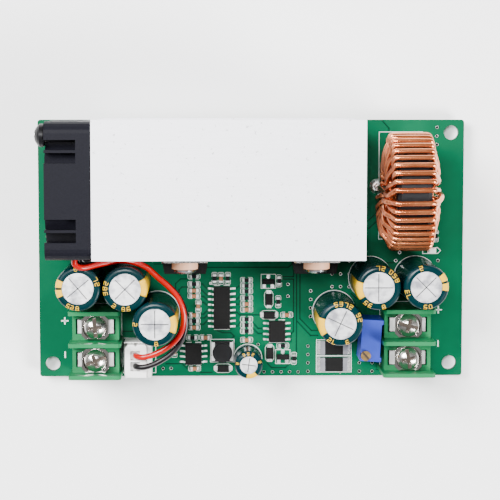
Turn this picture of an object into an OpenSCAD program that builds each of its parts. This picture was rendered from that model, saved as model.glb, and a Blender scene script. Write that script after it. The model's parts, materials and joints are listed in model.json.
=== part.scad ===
// Fan-cooled buck converter module: a green circuit board that carries an extruded heat sink with
// a fan at its end, two power transistors, a toroidal inductor, capacitors and screw terminals.
// Origin: centre of the mounting-hole pattern on the board's underside. X runs along the board,
// Y towards the heat sink's edge, Z up. Millimetres.

/* [Board] */
// Length of the board
board_l = 99; // [98:0.5:102]
// Width of the board
board_w = 60; // [60:0.5:63]
// Thickness of the board
board_t = 1.6; // [1.2:0.2:2.0]
// Distance between mounting holes along X
hole_span_x = 93; // [92:0.5:94]
// Distance between mounting holes along Y
hole_span_y = 54; // [53:0.5:55]
// Diameter of the mounting holes
hole_d = 3.4; // [3.2:0.1:3.6]

/* [Heat sink] */
// Length of the extrusion
sink_l = 59.3; // [58:0.1:60]
// Depth of the extrusion from its front plate to the fin tips
sink_d = 30.4; // [30:0.1:31]
// Height of the extrusion
sink_h = 31; // [30.5:0.5:33]
// Thickness of the front plate that carries the transistors
plate_t = 4; // [3:0.5:5]
// Number of fins between the top fin and the foot
mid_fins = 5; // [4:1:6]

/* [Fan] */
// Side of the square fan frame
fan_size = 30; // [30:1:30]
// Depth of the fan
fan_depth = 10; // [10:0.5:10]
// Number of blades
blades = 7; // [5:2:9]
// Radius of the duct
duct_r = 14; // [13.8:0.1:14.1]

/* [Inductor] */
// Outer diameter of the ring core
core_od = 24.2; // [23.6:0.1:24.4]
// Inner diameter of the ring core
core_id = 14.2; // [14:0.1:15]
// Width of the ring core along its axis
core_w = 7.6; // [7:0.1:8]
// Diameter of the enamelled wire
wire_d = 1.2; // [1.0:0.05:1.2]
// Turns on each half of the ring
half_turns = 20; // [16:1:20]

/* [Capacitors] */
// Diameter of the large cans over their sleeves
cap_d = 10; // [9.8:0.1:10.1]
// Height of the large cans
cap_h = 22; // [16:0.5:22]

/* [Terminals] */
// Distance between the two poles of a terminal block
pole_pitch = 7.62; // [7.5:0.02:7.62]
// Height of the barrier walls above the board
barrier_h = 14; // [13:0.5:15]
// Height of the shelf that carries the contacts
shelf_h = 9; // [8:0.5:9]

/* [Hidden] */

$fn = 48;
eps = 0.01;
top = board_t;            // upper face of the board
tail = 2;                 // solder tails below the board, on which the module stands
running = 0.05;           // radial clearance of a screw in its thread

// Colours
green_mask = [0.10, 0.50, 0.29];
terminal_green = [0.42, 0.78, 0.52];
black_plastic = [0.13, 0.13, 0.15];
aluminium = [0.88, 0.89, 0.91];
tin = [0.80, 0.80, 0.80];
steel = [0.62, 0.62, 0.64];
copper = [0.80, 0.42, 0.22];
brass = [0.80, 0.62, 0.30];
teal = [0.05, 0.30, 0.36];
tan_plastic = [0.88, 0.68, 0.55];
blue_plastic = [0.33, 0.45, 0.90];
white_plastic = [0.94, 0.94, 0.92];

// ---------------------------------------------------------------- shared shapes

// Points of an arc about (x, y)
function arc(x, y, r, from, to, steps = 5) =
    [for (i = [0:steps]) let (a = from + (to - from) * i / steps) [x + r * cos(a), y + r * sin(a)]];

// Rectangle with round corners, centred
module round_rect(w, h, r, steps = 5) {
    x = w / 2 - r;
    y = h / 2 - r;
    polygon(concat(arc(x, y, r, 0, 90, steps), arc(-x, y, r, 90, 180, steps),
                   arc(-x, -y, r, 180, 270, steps), arc(x, -y, r, 270, 360, steps)));
}

// Rectangle with chamfered corners, centred
module bevel_rect(w, h, c) {
    polygon([[w/2 - c, h/2], [c - w/2, h/2], [-w/2, h/2 - c], [-w/2, c - h/2],
             [c - w/2, -h/2], [w/2 - c, -h/2], [w/2, c - h/2], [w/2, h/2 - c]]);
}

// Box centred in X and Y, standing on z = 0
module slab(x, y, z) { translate([-x/2, -y/2, 0]) cube([x, y, z]); }

// Turns a shape drawn in Y, Z and extruded along Z so that it is extruded along X
module along_x() { rotate([90, 0, 90]) children(); }

// Turns a shape that stands on z = 0 so that it points towards -Y
module towards_front() { rotate([90, 0, 0]) children(); }

// Tube swept along points, as one closed polyhedron; each ring is square to the route there
function unit(v) = v / norm(v);
function heading(p, i) = unit(p[min(i + 1, len(p) - 1)] - p[max(i - 1, 0)]);
// the side direction of each ring follows on from the last, so that the tube doesn't twist
function square_to(v, t) = unit(v - (v * t) * t);
function sides_of(p, i = 0, last = undef) =
    i == len(p) ? [] :
    let (t = heading(p, i),
         start = abs(t[2]) < 0.9 ? [0, 0, 1] : [1, 0, 0],
         s = square_to(last == undef ? start : last, t))
    concat([s], sides_of(p, i + 1, s));
module tube(p, d, sides = 8) {
    s = sides_of(p);
    rings = [for (i = [0:len(p) - 1])
             let (t = heading(p, i), u = s[i], v = cross(t, u))
             for (k = [0:sides - 1])
             let (a = 360 * (k + 0.5) / sides) p[i] + d / 2 * (cos(a) * u + sin(a) * v)];
    walls = [for (i = [0:len(p) - 2]) for (k = [0:sides - 1])
             let (a = i * sides + k, b = i * sides + (k + 1) % sides)
             each [[a, a + sides, b], [b, a + sides, b + sides]]];
    last = (len(p) - 1) * sides;
    polyhedron(rings, concat(walls, [[for (k = [0:sides - 1]) k]],
                             [[for (k = [sides - 1:-1:0]) last + k]]), convexity = 10);
}

// Domed head with a cross recess and, if asked, a slot; underside at z = 0, with its shank below
module pan_screw(head_d, head_h, shank_d, shank_l, slot = true) {
    edge = head_h * 0.45;
    dome = head_h - edge;
    r = (head_d * head_d / 4 + dome * dome) / (2 * dome);
    rim = asin(head_d / 2 / r);
    difference() {
        rotate_extrude() polygon(concat([[0, -shank_l], [shank_d / 2 - 0.3, -shank_l],
            [shank_d / 2, 0.3 - shank_l], [shank_d / 2, 0], [head_d / 2 - 0.2, 0],
            [head_d / 2, 0.2]], arc(0, head_h - r, r, 90 - rim, 90, 5)));
        if (slot) translate([0, 0, head_h - 0.9]) slab(head_d + 1, head_d * 0.17, 2);
        for (a = [0, 90]) rotate(a) {
            translate([0, 0, head_h - 1.3]) slab(head_d * 0.5, head_d * 0.17, 2);
            translate([0, 0, head_h - 0.6]) slab(head_d * 0.62, head_d * 0.17, 2);
        }
    }
}

// ---------------------------------------------------------------- places

// Heat sink and fan
sink_x = -35.1;
sink_y = 0;
fan_gap = 0.1;
fan_x = sink_x - fan_gap - fan_depth;
fan_y = 15;
fan_z = top + sink_h - fan_size / 2 - 0.2;
fan_hole = 12;            // screw holes from the fan's axis, along Y and Z
boss_r = 2.4;
sink_screw_x = [-25, 15];
sink_screw_y = 18;

// Power transistors, on the heat sink's front plate
case_x = [-15.2, 14.2];
pad_t = 0.2;
tab_y = sink_y - pad_t;
tab_t = 1.2;
tab_w = 10.2;
tab_top = 22.6;
tab_hole_z = tab_top - 2.8;
case_h = 9;
case_z = tab_top - 15.3;
lead_pitch = 2.54;
lead_y = -2.7;

// Inductor, standing on its rim with its axis along X
coil_at = [35.4, 14, top + 13.5];
coil_end = [6.1, 0.5];     // each end of the wire from the middle of the ring, along X and Y

// Large capacitors: [x, y, direction of the negative stripe]
caps = [[-38.8, -6.95, 180], [-28.4, -7.15, 5], [-21.85, -14.95, 0],
        [19.4, -14.9, 188], [27.8, -6.9, 187], [38.4, -6.8, 15]];
lid_r = 3.5;
// direction of one of the two crossed score lines on each lid
scores = [40, 45, 0, 65, 0, 45];
small_score = -8;
cap_pitch = 5;
// Small capacitor
small_cap = [-0.8, -25.8, -75];
small_cap_d = 6.4;
small_cap_h = 11;
small_cap_pitch = 2.5;

// Terminal blocks: [x, y]; the first two poles are on the left block, from back to front
blocks = [[-35.8, -20.9], [35.7, -20.6]];
function pole(n) = blocks[floor((n - 1) / 2)] + [0, (n % 2 == 1 ? 1 : -1) * pole_pitch / 2];
screw_turn = [95, 22, -15, 100];
block_w = 10.7;
barrier_w = 11.9;
contact_t = 1;
clamp_w = 6.2;
clamp_d = 5.4;
clamp_t = 2;
clamp_dish = 0.9;

// Fan connector and trimmer
header_at = [-26.3, -25.1];
pin_pitch = 2.5;
trimmer_at = [27.25, -20.4];
trimmer_turn = -3.7;
trimmer_screw_at = [-1, -3.5];

// Surface-mount parts: [x, y, turn]
sop16_at = [-6.9, -13.8];
sop8_at = [[-13.55, -24.7], [6.0, -19.45]];
small_inductor_at = [-6.8, -24.1];
shunts_at = [[19.4, -23.4], [19.4, -27.3]];
diodes_at = [[-6.6, -28.2, 0, 2.2], [4.2, -15.6, 0, 1.85], [4.1, -11.9, 90, 1.85], [4.3, -24.6, 90, 1.85]];
sot23_at = [[4.0, -7.7, 0], [7.4, -25.5, 0]];
resistors_at = [
    [-13.4, -6.5, 0], [-13.4, -8.3, 0], [-13.4, -17.0, 0], [-13.8, -20.9, 0],
    [-8.6, -7.0, 90], [-5.5, -7.0, 90],
    [-1.1, -7.4, 0], [-1.1, -8.7, 0], [-1.1, -10.0, 0], [-1.1, -11.6, 0],
    [-1.1, -16.6, 0], [-1.1, -18.0, 0], [-1.1, -19.4, 0],
    [6.5, -7.6, 90], [6.3, -12.5, 90], [7.4, -22.9, 0], [10.0, -25.9, 90], [43.1, 2.9, 90]
];
capacitors_at = [
    [-13.4, -9.8, 0], [-13.4, -11.1, 0], [-12.4, -13.5, 90], [-13.4, -15.6, 0],
    [-13.4, -18.5, 0], [-10.7, -20.9, 0], [-13.3, -28.2, 0], [-18.0, -24.2, 90],
    [-7.1, -7.0, 90], [-1.1, -13.0, 0], [-1.1, -14.3, 0], [-1.1, -21.5, 0], [8.3, -15.6, 0]
];
led_at = [42.2, -0.5];

// Plated through-holes for current and heat: [x, y] on a 2 mm grid
vias = concat(
    [for (y = [28.2, 26.2, 24.2, 12.1, 10.1, 8.1, 6.1]) [43.2, y]],
    [for (x = [18.9, 20.9, 22.9]) for (y = [-6, -9]) [x, y]],
    [for (i = [0:3]) [13.9, -10 - 2 * i]],
    [for (i = [0:3]) [13.3, -23 - 2 * i]],
    [for (i = [0:4]) [3 + 2 * i, -29.1]],
    [for (x = [25.4, 28.4]) for (y = [-27, -29]) [x, y]],
    [[34.7, -1], [22.9, -2.9], [33.8, -2.9], [43.7, -2.9], [20.9, -29.1], [8.6, -8.4],
     [8.6, -11.2], [1.6, -22.6], [1.6, -24], [-20.7, -28.2], [-18.8, -28.2]]);

// Routes of the fan's leads, from the drive board through the frame's slot, over the first
// capacitor's edge, along the heat sink and round to the plug
red_route = [
    [-38.1, 10.1, 19.8], [-38.1, 6.8, 21.4], [-38.2, 4.0, 23.1], [-38.6, 1.7, 24.6],
    [-39.3, -0.3, 25.2], [-39.1, -1.6, 25.1], [-37.4, -2.2, 24.6], [-34.0, -1.6, 22.5],
    [-30.0, -1.1, 20.2], [-27.0, -1.4, 18.7], [-23.9, -2.8, 17.6], [-21.4, -5.1, 16.7],
    [-18.9, -7.4, 16.0], [-16.7, -10.2, 15.3], [-15.6, -13.5, 14.7], [-15.8, -16.8, 14.0],
    [-17.2, -19.6, 13.4], [-19.7, -21.8, 13.0], [-22.5, -23.3, 12.7], [-24.9, -23.9, 12.4],
    [-26.5, -23.85, 11.4], [-26.8, -23.85, 9.6]
];
black_route = [
    [-38.1, 10.5, 17.9], [-38.1, 7.1, 19.5], [-38.1, 4.2, 21.3], [-38.1, 1.7, 22.7],
    [-38.1, -0.1, 23.2], [-37.4, -1.1, 22.7], [-35.2, -1.1, 21.0], [-32.4, -1.0, 19.3],
    [-29.5, -1.0, 17.9], [-26.6, -1.5, 16.8], [-23.7, -3.0, 15.9], [-21.2, -5.4, 15.1],
    [-18.7, -7.6, 14.4], [-16.5, -10.3, 13.8], [-15.3, -13.6, 13.2], [-15.2, -17.2, 12.7],
    [-16.3, -20.4, 12.3], [-18.5, -23.1, 12.2], [-21.5, -25.1, 12.2], [-24.5, -26.2, 12.2],
    [-26.4, -26.35, 11.3], [-26.8, -26.35, 9.6]
];
lead_d = 1.3;

// ---------------------------------------------------------------- board

// Every through-hole lead: [x, y, drill diameter]
function turned(p, a, d) = [p[0] + d * cos(a), p[1] + d * sin(a)];
cap_leads = [for (c = caps) for (s = [-1, 1]) turned(c, c[2], s * cap_pitch / 2)];
small_leads = [for (s = [-1, 1]) turned(small_cap, small_cap[2], s * small_cap_pitch / 2)];
case_leads = [for (x = case_x) for (i = [-1:1]) [x + i * lead_pitch, lead_y]];
pole_pins = [for (n = [1:4]) pole(n) + [(n < 3 ? -1 : 1) * 3.6, 0]];
coil_leads = [for (s = [-1, 1]) [coil_at[0] + s * coil_end[0], coil_at[1] + coil_end[1]]];
header_leads = [for (s = [-1, 1]) header_at + [-0.5, s * pin_pitch / 2]];
trimmer_leads = [for (i = [-1:1]) turned(trimmer_at, trimmer_turn + 90, i * lead_pitch)];
drilled = concat(
    [for (p = cap_leads) [p[0], p[1], 1.0]],
    [for (p = small_leads) [p[0], p[1], 0.8]],
    [for (p = case_leads) [p[0], p[1], 1.3]],
    [for (p = pole_pins) [p[0], p[1], 1.8]],
    [for (p = coil_leads) [p[0], p[1], 1.6]],
    [for (p = header_leads) [p[0], p[1], 1.0]],
    [for (p = trimmer_leads) [p[0], p[1], 0.8]]);

module circuit_board() {
    color(green_mask) difference() {
        linear_extrude(board_t) round_rect(board_l, board_w, 0.6, 3);
        for (x = [-1, 1]) for (y = [-1, 1])
            translate([x * hole_span_x / 2, y * hole_span_y / 2, -1])
                cylinder(d = hole_d, h = board_t + 2);
        for (p = drilled) translate([p[0], p[1], -1]) cylinder(d = p[2], h = board_t + 2, $fn = 24);
        for (p = vias) translate([p[0], p[1], -1]) cylinder(d = 0.6, h = board_t + 2, $fn = 16);
        for (x = sink_screw_x) translate([x, sink_screw_y, -1]) cylinder(d = 3.2, h = board_t + 2);
    }
}

// Cone of solder round each tail, and the ring of solder on the inductor's upper pads
module solder_joints() {
    color(tin) {
        for (p = drilled) translate([p[0], p[1], -1.1]) difference() {
            cylinder(d1 = p[2] + 0.3, d2 = p[2] + 1.5, h = 1.1, $fn = 24);
            translate([0, 0, -1]) cylinder(d = p[2], h = 3, $fn = 24);
        }
        for (p = coil_leads) translate([p[0], p[1], top]) difference() {
            cylinder(d1 = 3.6, d2 = 2.1, h = 0.9, $fn = 32);
            translate([0, 0, -1]) cylinder(d = 1.5, h = 3, $fn = 24);
        }
    }
}

// ---------------------------------------------------------------- heat sink

fin_t = 1.4;
top_fin_t = 1.6;
foot_t = 2.8;

// Extruded section in Y, Z: front plate, top fin, foot, thin fins with round tips, screw channels
module sink_section() {
    gap = (sink_h - top_fin_t - foot_t - mid_fins * fin_t) / (mid_fins + 1);
    difference() {
        union() {
            square([plate_t, sink_h]);
            translate([0, sink_h - top_fin_t]) square([sink_d, top_fin_t]);
            square([sink_d, foot_t]);
            for (i = [1:mid_fins]) translate([0, foot_t + i * gap + (i - 1) * fin_t]) {
                square([sink_d - 1.2, fin_t]);
                translate([sink_d - 1.2, fin_t / 2]) circle(d = fin_t, $fn = 24);
            }
            for (s = [-1, 1])
                translate([fan_y - sink_y + s * fan_hole, fan_z - top + s * fan_hole])
                    circle(r = boss_r);
        }
        for (s = [-1, 1])
            translate([fan_y - sink_y + s * fan_hole, fan_z - top + s * fan_hole])
                circle(r = 1.5);
    }
}

module heat_sink() {
    color(aluminium) difference() {
        translate([sink_x, sink_y, top]) along_x() linear_extrude(sink_l) sink_section();
        // tapped holes for the transistors, and for the screws from below
        for (x = case_x) translate([x, sink_y - 1, tab_hole_z])
            rotate([-90, 0, 0]) cylinder(r = 1.5, h = plate_t + 1.1);
        for (x = sink_screw_x) translate([x, sink_screw_y, 0])
            cylinder(r = 1.5, h = top + foot_t + 1);
    }
}

module heat_sink_screws() {
    color(steel) for (x = sink_screw_x) translate([x, sink_screw_y, 0]) rotate([180, 0, 0])
        pan_screw(5.4, 1.9, 3 - 2 * running, 4.2, false);
}

// ---------------------------------------------------------------- fan

flange_t = 3.2;
hub_r = 7;
hub_face = 0.4;           // front face of the hub behind the frame's front
hub_back = 6.1;
base_x = 6.6;             // where the motor's base begins
base_t = 1.4;
pocket_r = 14.7;          // outer face of the duct's wall in the pockets
strut_turn = 152.6;       // direction of the strut that carries the leads
tower_r = 2.6;
bearing_r = 2;
shaft_r = 0.75;

// Fan parts are drawn about the fan's axis, from its open front along +Z
module in_fan() { translate([fan_x, fan_y, fan_z]) along_x() children(); }

// Outline of one quarter's corner post, rib and side land
module fan_quarter() {
    half = fan_size / 2;
    translate([11.1, 11.1]) square(half - 11.1);
    for (a = [0, 1]) mirror([a, -a]) {
        translate([8.3, 9]) square([0.6, half - 9]);
        translate([0, duct_r - 0.5]) square([6.05, half - duct_r + 0.5]);
    }
}

module fan_frame() {
    color(black_plastic) in_fan() {
        difference() {
            union() {
                intersection() {
                    linear_extrude(fan_depth) union() {
                        for (a = [0:90:270]) rotate(a) fan_quarter();
                        circle(r = pocket_r, $fn = 96);
                    }
                    translate([0, 0, -1]) linear_extrude(fan_depth + 2)
                        round_rect(fan_size, fan_size, 2.5);
                }
                translate([0, 0, fan_depth - flange_t]) linear_extrude(flange_t)
                    round_rect(fan_size, fan_size, 2.5);
            }
            translate([0, 0, -1]) cylinder(r = duct_r, h = fan_depth + 2, $fn = 96);
            for (x = [-1, 1]) for (y = [-1, 1]) translate([x * fan_hole, y * fan_hole, -1])
                cylinder(d = 3.2, h = fan_depth + 2);
            // slot through which the leads leave
            translate([-fan_size / 2 - 1, 4.4, 4.8]) cube([5, 4.3, 3.1]);
        }
        // motor base, its struts and the tube that holds the bearing
        for (a = [0:90:270]) rotate(strut_turn + a)
            translate([hub_r - 1, -0.7, fan_depth - 2]) cube([duct_r + 0.4 - hub_r + 1, 1.4, 1.6]);
        difference() {
            union() {
                translate([0, 0, fan_depth - 2]) cylinder(r = hub_r + 0.2, h = 1.6);
                translate([0, 0, 2.4]) cylinder(r = tower_r, h = fan_depth - 4);
            }
            translate([0, 0, 1]) cylinder(r = bearing_r, h = 7.9);
        }
    }
}

// One cambered blade: a slice of a thin cylindrical shell whose axis points outwards
module fan_blade() {
    bend = 8;
    intersection() {
        translate([0, -4.5, 8.9]) rotate([0, 90, 0]) difference() {
            cylinder(r = bend, h = duct_r);
            translate([0, 0, -1]) cylinder(r = bend - 0.7, h = duct_r + 2);
        }
        translate([3, -3.4, 1]) cube([duct_r, 6.6, 5]);
        difference() {
            cylinder(r = duct_r - 0.5, h = 8, $fn = 96);
            translate([0, 0, -1]) cylinder(r = hub_r - 0.35, h = 10);
        }
    }
}

module fan_impeller() {
    color(black_plastic) in_fan() {
        for (i = [0:blades - 1]) rotate(12 + i * 360 / blades) fan_blade();
        difference() {
            translate([0, 0, hub_face]) rotate_extrude() polygon(concat([[0, 0]],
                arc(hub_r - 0.8, 0.8, 0.8, -90, 0, 4), [[hub_r, hub_back - hub_face],
                [0, hub_back - hub_face]]));
            translate([0, 0, hub_face + 0.8]) cylinder(r = hub_r - 0.7, h = 10);
        }
        // boss that holds the shaft
        difference() {
            translate([0, 0, hub_face + 0.4]) cylinder(r = 1.6, h = 1.2);
            translate([0, 0, hub_face + 0.8]) cylinder(r = shaft_r, h = 5, $fn = 32);
        }
    }
}

module fan_rotor_cup() {
    color(steel) in_fan() translate([0, 0, hub_face + 0.8]) difference() {
        cylinder(r = hub_r - 0.7, h = 4.6);
        translate([0, 0, 0.3]) cylinder(r = hub_r - 1, h = 6);
        translate([0, 0, -1]) cylinder(r = 1.6, h = 3);
    }
}

module fan_magnet() {
    color([0.2, 0.2, 0.21]) in_fan() translate([0, 0, hub_face + 1.4]) difference() {
        cylinder(r = hub_r - 1, h = 3.8);
        translate([0, 0, -1]) cylinder(r = 5.3, h = 6);
    }
}

module fan_shaft() {
    color(steel) in_fan() translate([0, 0, hub_face + 0.8])
        cylinder(r = shaft_r, h = 7.2, $fn = 32);
}

module fan_bearing() {
    color(brass) in_fan() translate([0, 0, 2.6]) difference() {
        cylinder(r = bearing_r, h = 5.6);
        translate([0, 0, -1]) cylinder(r = shaft_r + 0.03, h = 8, $fn = 32);
    }
}

// Four-pole laminated core round the bearing tube
module fan_stator() {
    color(steel) in_fan() translate([0, 0, 3]) difference() {
        union() {
            cylinder(r = tower_r + 0.7, h = 2);
            intersection() {
                cylinder(r = 5, h = 2);
                for (a = [0:90:270]) rotate(a) {
                    translate([0, -0.7, 0]) cube([6, 1.4, 2]);
                    translate([4.3, -2.4, 0]) cube([2, 4.8, 2]);
                }
            }
        }
        translate([0, 0, -1]) cylinder(r = tower_r, h = 4);
    }
}

module fan_coils() {
    color(copper) in_fan() for (a = [0:90:270]) rotate(a) translate([0, 0, 2.4]) difference() {
        translate([tower_r + 0.8, -1.3, 0]) cube([0.85, 2.6, 3.2]);
        translate([0, -0.7, 0.6]) cube([6, 1.4, 2]);
    }
}

module fan_drive_board() {
    color(green_mask) in_fan() translate([0, 0, 7]) difference() {
        cylinder(r = 5, h = 1);
        translate([0, 0, -1]) cylinder(r = tower_r, h = 3);
    }
}

module fan_screws() {
    color(black_plastic) for (s = [-1, 1])
        translate([fan_x, fan_y + s * fan_hole, fan_z + s * fan_hole]) rotate([0, -90, 0])
            rotate(s * 25) pan_screw(5, 2.3, 3 - 2 * running, 16, false);
}

module fan_lead_red() { color("red") tube(red_route, lead_d); }
module fan_lead_black() { color([0.1, 0.1, 0.1]) tube(black_route, lead_d); }

// ---------------------------------------------------------------- fan connector

plug_size = [5, 7.7, 8.2];
plug_z = top + 1.1;
header_size = [6.1, 7.9, 7.2];
lead_pocket = 2.2;

// Plug with a pocket for each lead, a notch at its end and one chamfered corner
module fan_plug() {
    color(white_plastic) translate([header_at[0] - 0.4, header_at[1], plug_z]) difference() {
        linear_extrude(plug_size[2]) polygon([
            [-plug_size[0] / 2, -plug_size[1] / 2], [plug_size[0] / 2, -plug_size[1] / 2],
            [plug_size[0] / 2, plug_size[1] / 2 - 0.4], [plug_size[0] / 2 - 0.4, plug_size[1] / 2],
            [0.5, plug_size[1] / 2], [0, plug_size[1] / 2 - 0.5], [-0.5, plug_size[1] / 2],
            [0.8 - plug_size[0] / 2, plug_size[1] / 2], [-plug_size[0] / 2, plug_size[1] / 2 - 0.8]]);
        for (s = [-1, 1]) translate([-0.1, s * pin_pitch / 2, 9.6 - plug_z])
            slab(lead_pocket, lead_pocket * 0.95, 9);
        for (s = [-1, 1]) translate([-0.1, s * pin_pitch / 2, -1]) slab(0.7, 0.7, 7);
    }
}

// Shroud: floor, closed right side, ends, and a left side open in the middle
module fan_header() {
    wall = 0.3;
    inner = [plug_size[0] + 0.1, plug_size[1] + 0.1];
    color(white_plastic) translate([header_at[0], header_at[1], top]) difference() {
        slab(header_size[0] + 0.1, plug_size[1] + 2 * wall, header_size[2]);
        translate([-0.4, 0, plug_z - top]) slab(inner[0], inner[1], 10);
        translate([-header_size[0] / 2, 0, 2.5]) slab(2, 3, 10);
        for (p = header_leads) translate([p[0] - header_at[0], p[1] - header_at[1], -1])
            slab(0.64, 0.64, 5);
    }
}

module fan_header_pins() {
    color(tin) for (p = header_leads) translate([p[0], p[1], -tail])
        slab(0.64, 0.64, tail + top + 6);
}

// ---------------------------------------------------------------- power transistors

// Moulded case with chamfered front edges and an ejector mark
module transistor_case(x) {
    front = 3.1;
    color(black_plastic) translate([x, tab_y - tab_t, case_z]) difference() {
        translate([0, 0, 0]) linear_extrude(case_h) polygon([
            [-5, 0], [-5, 0.3 - front / 2], [-4.6, -front], [4.6, -front], [5, 0.3 - front / 2], [5, 0]]);
        translate([0, -front + 0.2, case_h * 0.75]) towards_front()
            cylinder(d = 1.6, h = 1, $fn = 24);
        translate([-6, -front - 1, case_h]) rotate([20, 0, 0]) translate([0, 0, -1.2])
            cube([12, 1, 3]);
    }
}

// Copper tab with its screw hole, and the three leads down through the board
module transistor_tab(x) {
    color(tin) {
        translate([x, tab_y, 0]) difference() {
            translate([0, 0, case_z + 0.3]) towards_front()
                linear_extrude(tab_t) translate([0, (tab_top - case_z - 0.3) / 2])
                    bevel_rect(tab_w, tab_top - case_z - 0.3, 0.5);
            translate([0, 1, tab_hole_z]) towards_front() cylinder(d = 3.7, h = 4);
        }
        for (i = [-1:1]) translate([x + i * lead_pitch, lead_y, 0]) {
            translate([0, 0, -tail]) slab(0.8, 0.5, tail + case_z);
            translate([0, 0, case_z - 3.4]) slab(1.3, 0.5, 3.4);
        }
    }
}

module left_transistor_case() { transistor_case(case_x[0]); }
module right_transistor_case() { transistor_case(case_x[1]); }
module left_transistor_tab() { transistor_tab(case_x[0]); }
module right_transistor_tab() { transistor_tab(case_x[1]); }

module insulating_pads() {
    color([0.75, 0.75, 0.72]) for (x = case_x) translate([x, sink_y, case_z - 0.3]) difference() {
        translate([-5.6, -pad_t, 0]) cube([11.2, pad_t, tab_top - case_z + 0.8]);
        translate([0, 1, tab_hole_z - case_z + 0.3]) towards_front() cylinder(d = 3.7, h = 4);
    }
}

bush_flange = 1.5;
module insulating_bushings() {
    color(tan_plastic) for (x = case_x) translate([x, tab_y - tab_t, tab_hole_z]) difference() {
        union() {
            towards_front() cylinder(d = 5.8, h = bush_flange);
            translate([0, tab_t, 0]) towards_front() cylinder(d = 3.6, h = tab_t + eps);
        }
        translate([0, 3, 0]) towards_front() cylinder(d = 3.1, h = 6);
    }
}

module transistor_screws() {
    color(steel) for (x = case_x) translate([x, tab_y - tab_t - bush_flange, tab_hole_z])
        towards_front() rotate(35) pan_screw(5, 1.3, 3 - 2 * running, 6.6, false);
}

// ---------------------------------------------------------------- inductor

// Ring core with chamfered edges, coated
module inductor_core() {
    c = 0.8;
    ri = core_id / 2;
    ro = core_od / 2;
    h = core_w / 2;
    color([0.12, 0.12, 0.14]) translate(coil_at) rotate([0, 90, 0]) rotate_extrude($fn = 64)
        polygon([[ri, c - h], [ri + c, -h], [ro - c, -h], [ro, c - h],
                 [ro, h - c], [ro - c, h], [ri + c, h], [ri, h - c]]);
}

// One turn round the core's section, as [offset along the axis, radius], from the left face over
// the rim, down the right face and back through the middle. Every second turn lies in the upper
// layer: at the hole, where there is room for half of the turns only, it rides over its neighbours.
// The front half of the ring was wound less tightly, and stands off the left face.
function turn_section(layer, slack) =
    let (r = wire_d / 2 + 0.05, x = core_w / 2 + r, out = core_od / 2 + r,
         up = layer * (wire_d + 0.05), in = core_id / 2 - r - up)
    [[0.2 - x, out - 0.25], [1.3 - x, out + 0.05], [x - 1.3, out + 0.05], [x - 0.2, out - 0.25],
     [x + 0.05, out - 1.5], [x + 0.9 * up, in + 2.6], [x + up - 0.1, in + 0.8], [x + up - 0.9, in],
     [0.9 - x - up, in], [0.1 - x - up - slack / 2, in + 0.7], [-x - up - slack, in + 2],
     [-x - 0.7 * up - slack, 9.6], [-x - 0.1 - 0.4 * slack, out - 1.6]];
turn_share = [0, 0, 0.04, 0.08, 0.12, 0.18, 0.24, 0.3, 0.5, 0.6, 0.72, 0.84, 0.94];
first_turn = 4;           // directions of the first and last turns, from the top of the ring
last_turn = 351;
turn_pitch = 8.6;
function turn_angle(i) = i < half_turns ? first_turn + turn_pitch * i
                                        : last_turn - turn_pitch * (2 * half_turns - 1 - i);
function on_ring(x, r, a) = [x, r * sin(a), r * cos(a)];
function wound(i) =
    let (s = turn_section((i + 1) % 2, i < half_turns ? -0.1 : 0.8), a = turn_angle(i),
         end = i == 2 * half_turns - 1, step = end ? turn_pitch : turn_angle(i + 1) - a)
    [for (k = [0:end ? 3 : 12]) on_ring(s[k][0], s[k][1], a + step * turn_share[k])];
// Each end comes down in front of the ring's face and goes straight through its pad
foot = -coil_at[2] - tail;
left_end = [[-coil_end[0], coil_end[1], foot], [-coil_end[0], coil_end[1], -12.2],
            [-coil_end[0], coil_end[1], -4], [-coil_end[0], 0.1, 3], [-coil_end[0], -0.1, 7],
            [-5.8, -0.4, 9.8], [-5.1, 0.2, 11.4]];
right_end = [[5.1, -1.6, 11.2], [5.9, -1, 9.6], [coil_end[0] + 0.2, -0.5, 7],
             [coil_end[0] + 0.2, -0.2, 3], [coil_end[0], coil_end[1], -4],
             [coil_end[0], coil_end[1], -12.2], [coil_end[0], coil_end[1], foot]];

module inductor_winding() {
    turns = [for (i = [0:2 * half_turns - 1]) each wound(i)];
    color(copper) translate(coil_at) tube(concat(left_end, turns, right_end), wire_d, 6);
}

// ---------------------------------------------------------------- terminals

module barrier_profile() {
    polygon([[-barrier_w/2 - 0.15, 0], [barrier_w/2 + 0.15, 0], [barrier_w/2, 2.5],
             [barrier_w/2, barrier_h - 0.6], [barrier_w/2 - 0.6, barrier_h],
             [0.6 - barrier_w/2, barrier_h], [-barrier_w/2, barrier_h - 0.6], [-barrier_w/2, 2.5]]);
}

// Housing with its outer side towards +X: base, three barriers and a well for each contact
module terminal_housing() {
    end = pole_pitch - 0.32;  // middle of each outer barrier
    wall = 0.95;
    difference() {
        union() {
            slab(block_w, 2 * end, shelf_h);
            for (y = [-end, 0, end]) translate([0, y + wall / 2, 0]) rotate([90, 0, 0])
                linear_extrude(wall) barrier_profile();
            // the middle barrier thickens towards the shelf
            translate([0.7 - barrier_w / 2, 0, shelf_h]) along_x() linear_extrude(barrier_w - 1.4)
                polygon([[-0.8, -0.5], [0.8, -0.5], [wall / 2, 3], [-wall / 2, 3]]);
            // rail along the outer side, with a step for each pole
            translate([block_w / 2 - 0.1, -end, 0]) cube([0.5, 2 * end, 3]);
        }
        for (s = [-1, 1]) translate([0, s * pole_pitch / 2, 0]) {
            translate([0, 0, 2]) slab(9, 3.5, shelf_h);
            translate([3.6, 0, -1]) slab(1, 1.2, 4);
        }
    }
}

module input_terminal_housing() {
    color(terminal_green) translate([blocks[0][0], blocks[0][1], top])
        mirror([1, 0, 0]) terminal_housing();
}

module output_terminal_housing() {
    color(terminal_green) translate([blocks[1][0], blocks[1][1], top]) terminal_housing();
}

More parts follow.
